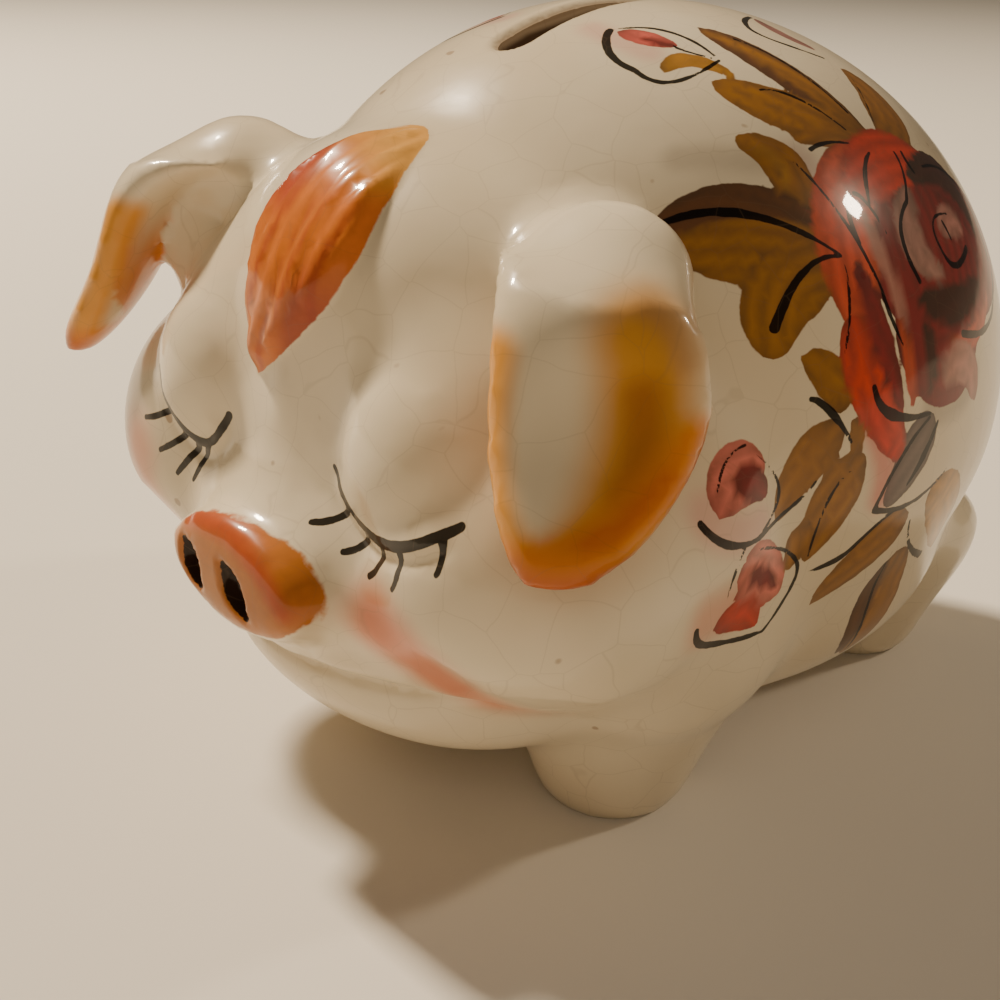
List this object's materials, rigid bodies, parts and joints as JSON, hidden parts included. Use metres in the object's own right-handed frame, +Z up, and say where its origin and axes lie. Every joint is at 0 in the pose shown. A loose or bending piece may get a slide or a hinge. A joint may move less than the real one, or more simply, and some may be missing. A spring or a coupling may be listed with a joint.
{
  "type": "piggy bank",
  "caption": "Hollow glazed ceramic pig money bank with closed eyes, a coin slot along the back and a rubber stopper in the belly.",
  "frame": {"origin": "on the floor under the middle of the bank, where z = 0 is the plane of the feet", "axes": "+Z up, the pig faces -Y, +X is the pig's left side"},
  "size_m": [0.1062, 0.135, 0.1009],
  "materials": {
    "body_shell": "glossy crazed glaze over hand painting",
    "snout": "glossy crazed glaze over hand painting",
    "forelock": "glossy crazed glaze over hand painting",
    "left_ear": "glossy crazed glaze over hand painting",
    "right_ear": "glossy crazed glaze over hand painting",
    "front_left_leg": "glossy crazed glaze over hand painting",
    "front_right_leg": "glossy crazed glaze over hand painting",
    "rear_left_leg": "glossy crazed glaze over hand painting",
    "rear_right_leg": "glossy crazed glaze over hand painting",
    "tail": "glossy crazed glaze",
    "stopper": "soft cream rubber"
  },
  "bodies": {
    "bank": {"body_shell": "body_shell", "snout": "snout", "forelock": "forelock", "left_ear": "left_ear", "right_ear": "right_ear", "front_left_leg": "front_left_leg", "front_right_leg": "front_right_leg", "rear_left_leg": "rear_left_leg", "rear_right_leg": "rear_right_leg", "tail": "tail"},
    "stopper": {"stopper": "stopper"}
  },
  "joints": [
    {"name": "stopper_pull", "type": "slide", "parent": "bank", "child": "stopper", "axis": [0, 0, -1], "range_m": [0, 0.022]}
  ]
}
